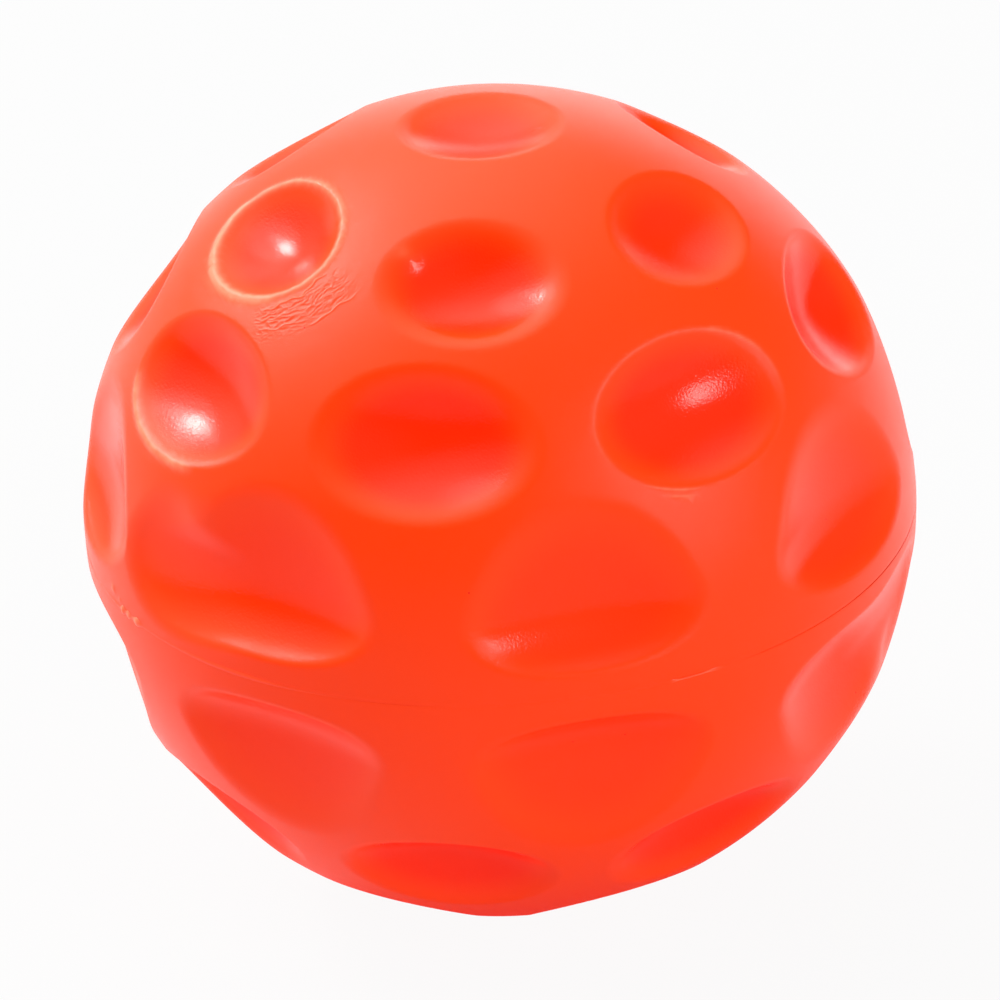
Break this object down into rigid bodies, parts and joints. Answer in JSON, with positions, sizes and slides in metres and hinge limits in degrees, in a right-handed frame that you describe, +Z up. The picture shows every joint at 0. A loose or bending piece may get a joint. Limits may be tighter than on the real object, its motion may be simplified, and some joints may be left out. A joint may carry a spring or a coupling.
{
  "type": "dog ball",
  "caption": "Glossy red-orange fetch ball for dogs, dimpled all over with shallow oval craters, with a fine moulding seam round its middle.",
  "frame": {"origin": "centre of the ball, in the plane of the moulding seam", "axes": "+Z up through both poles, square to the moulding seam; -Y through the middle of one of the craters next to the seam"},
  "size_m": [0.0662, 0.0662, 0.0648],
  "materials": {
    "upper_cover": "glossy moulded polyurethane with a fine grain",
    "lower_cover": "glossy moulded polyurethane with a fine grain",
    "seam_bead": "trimmed moulding flash",
    "foam_core": "fine closed-cell foam"
  },
  "bodies": {
    "root": {"upper_cover": "upper_cover", "lower_cover": "lower_cover", "seam_bead": "seam_bead", "foam_core": "foam_core"}
  },
  "joints": []
}
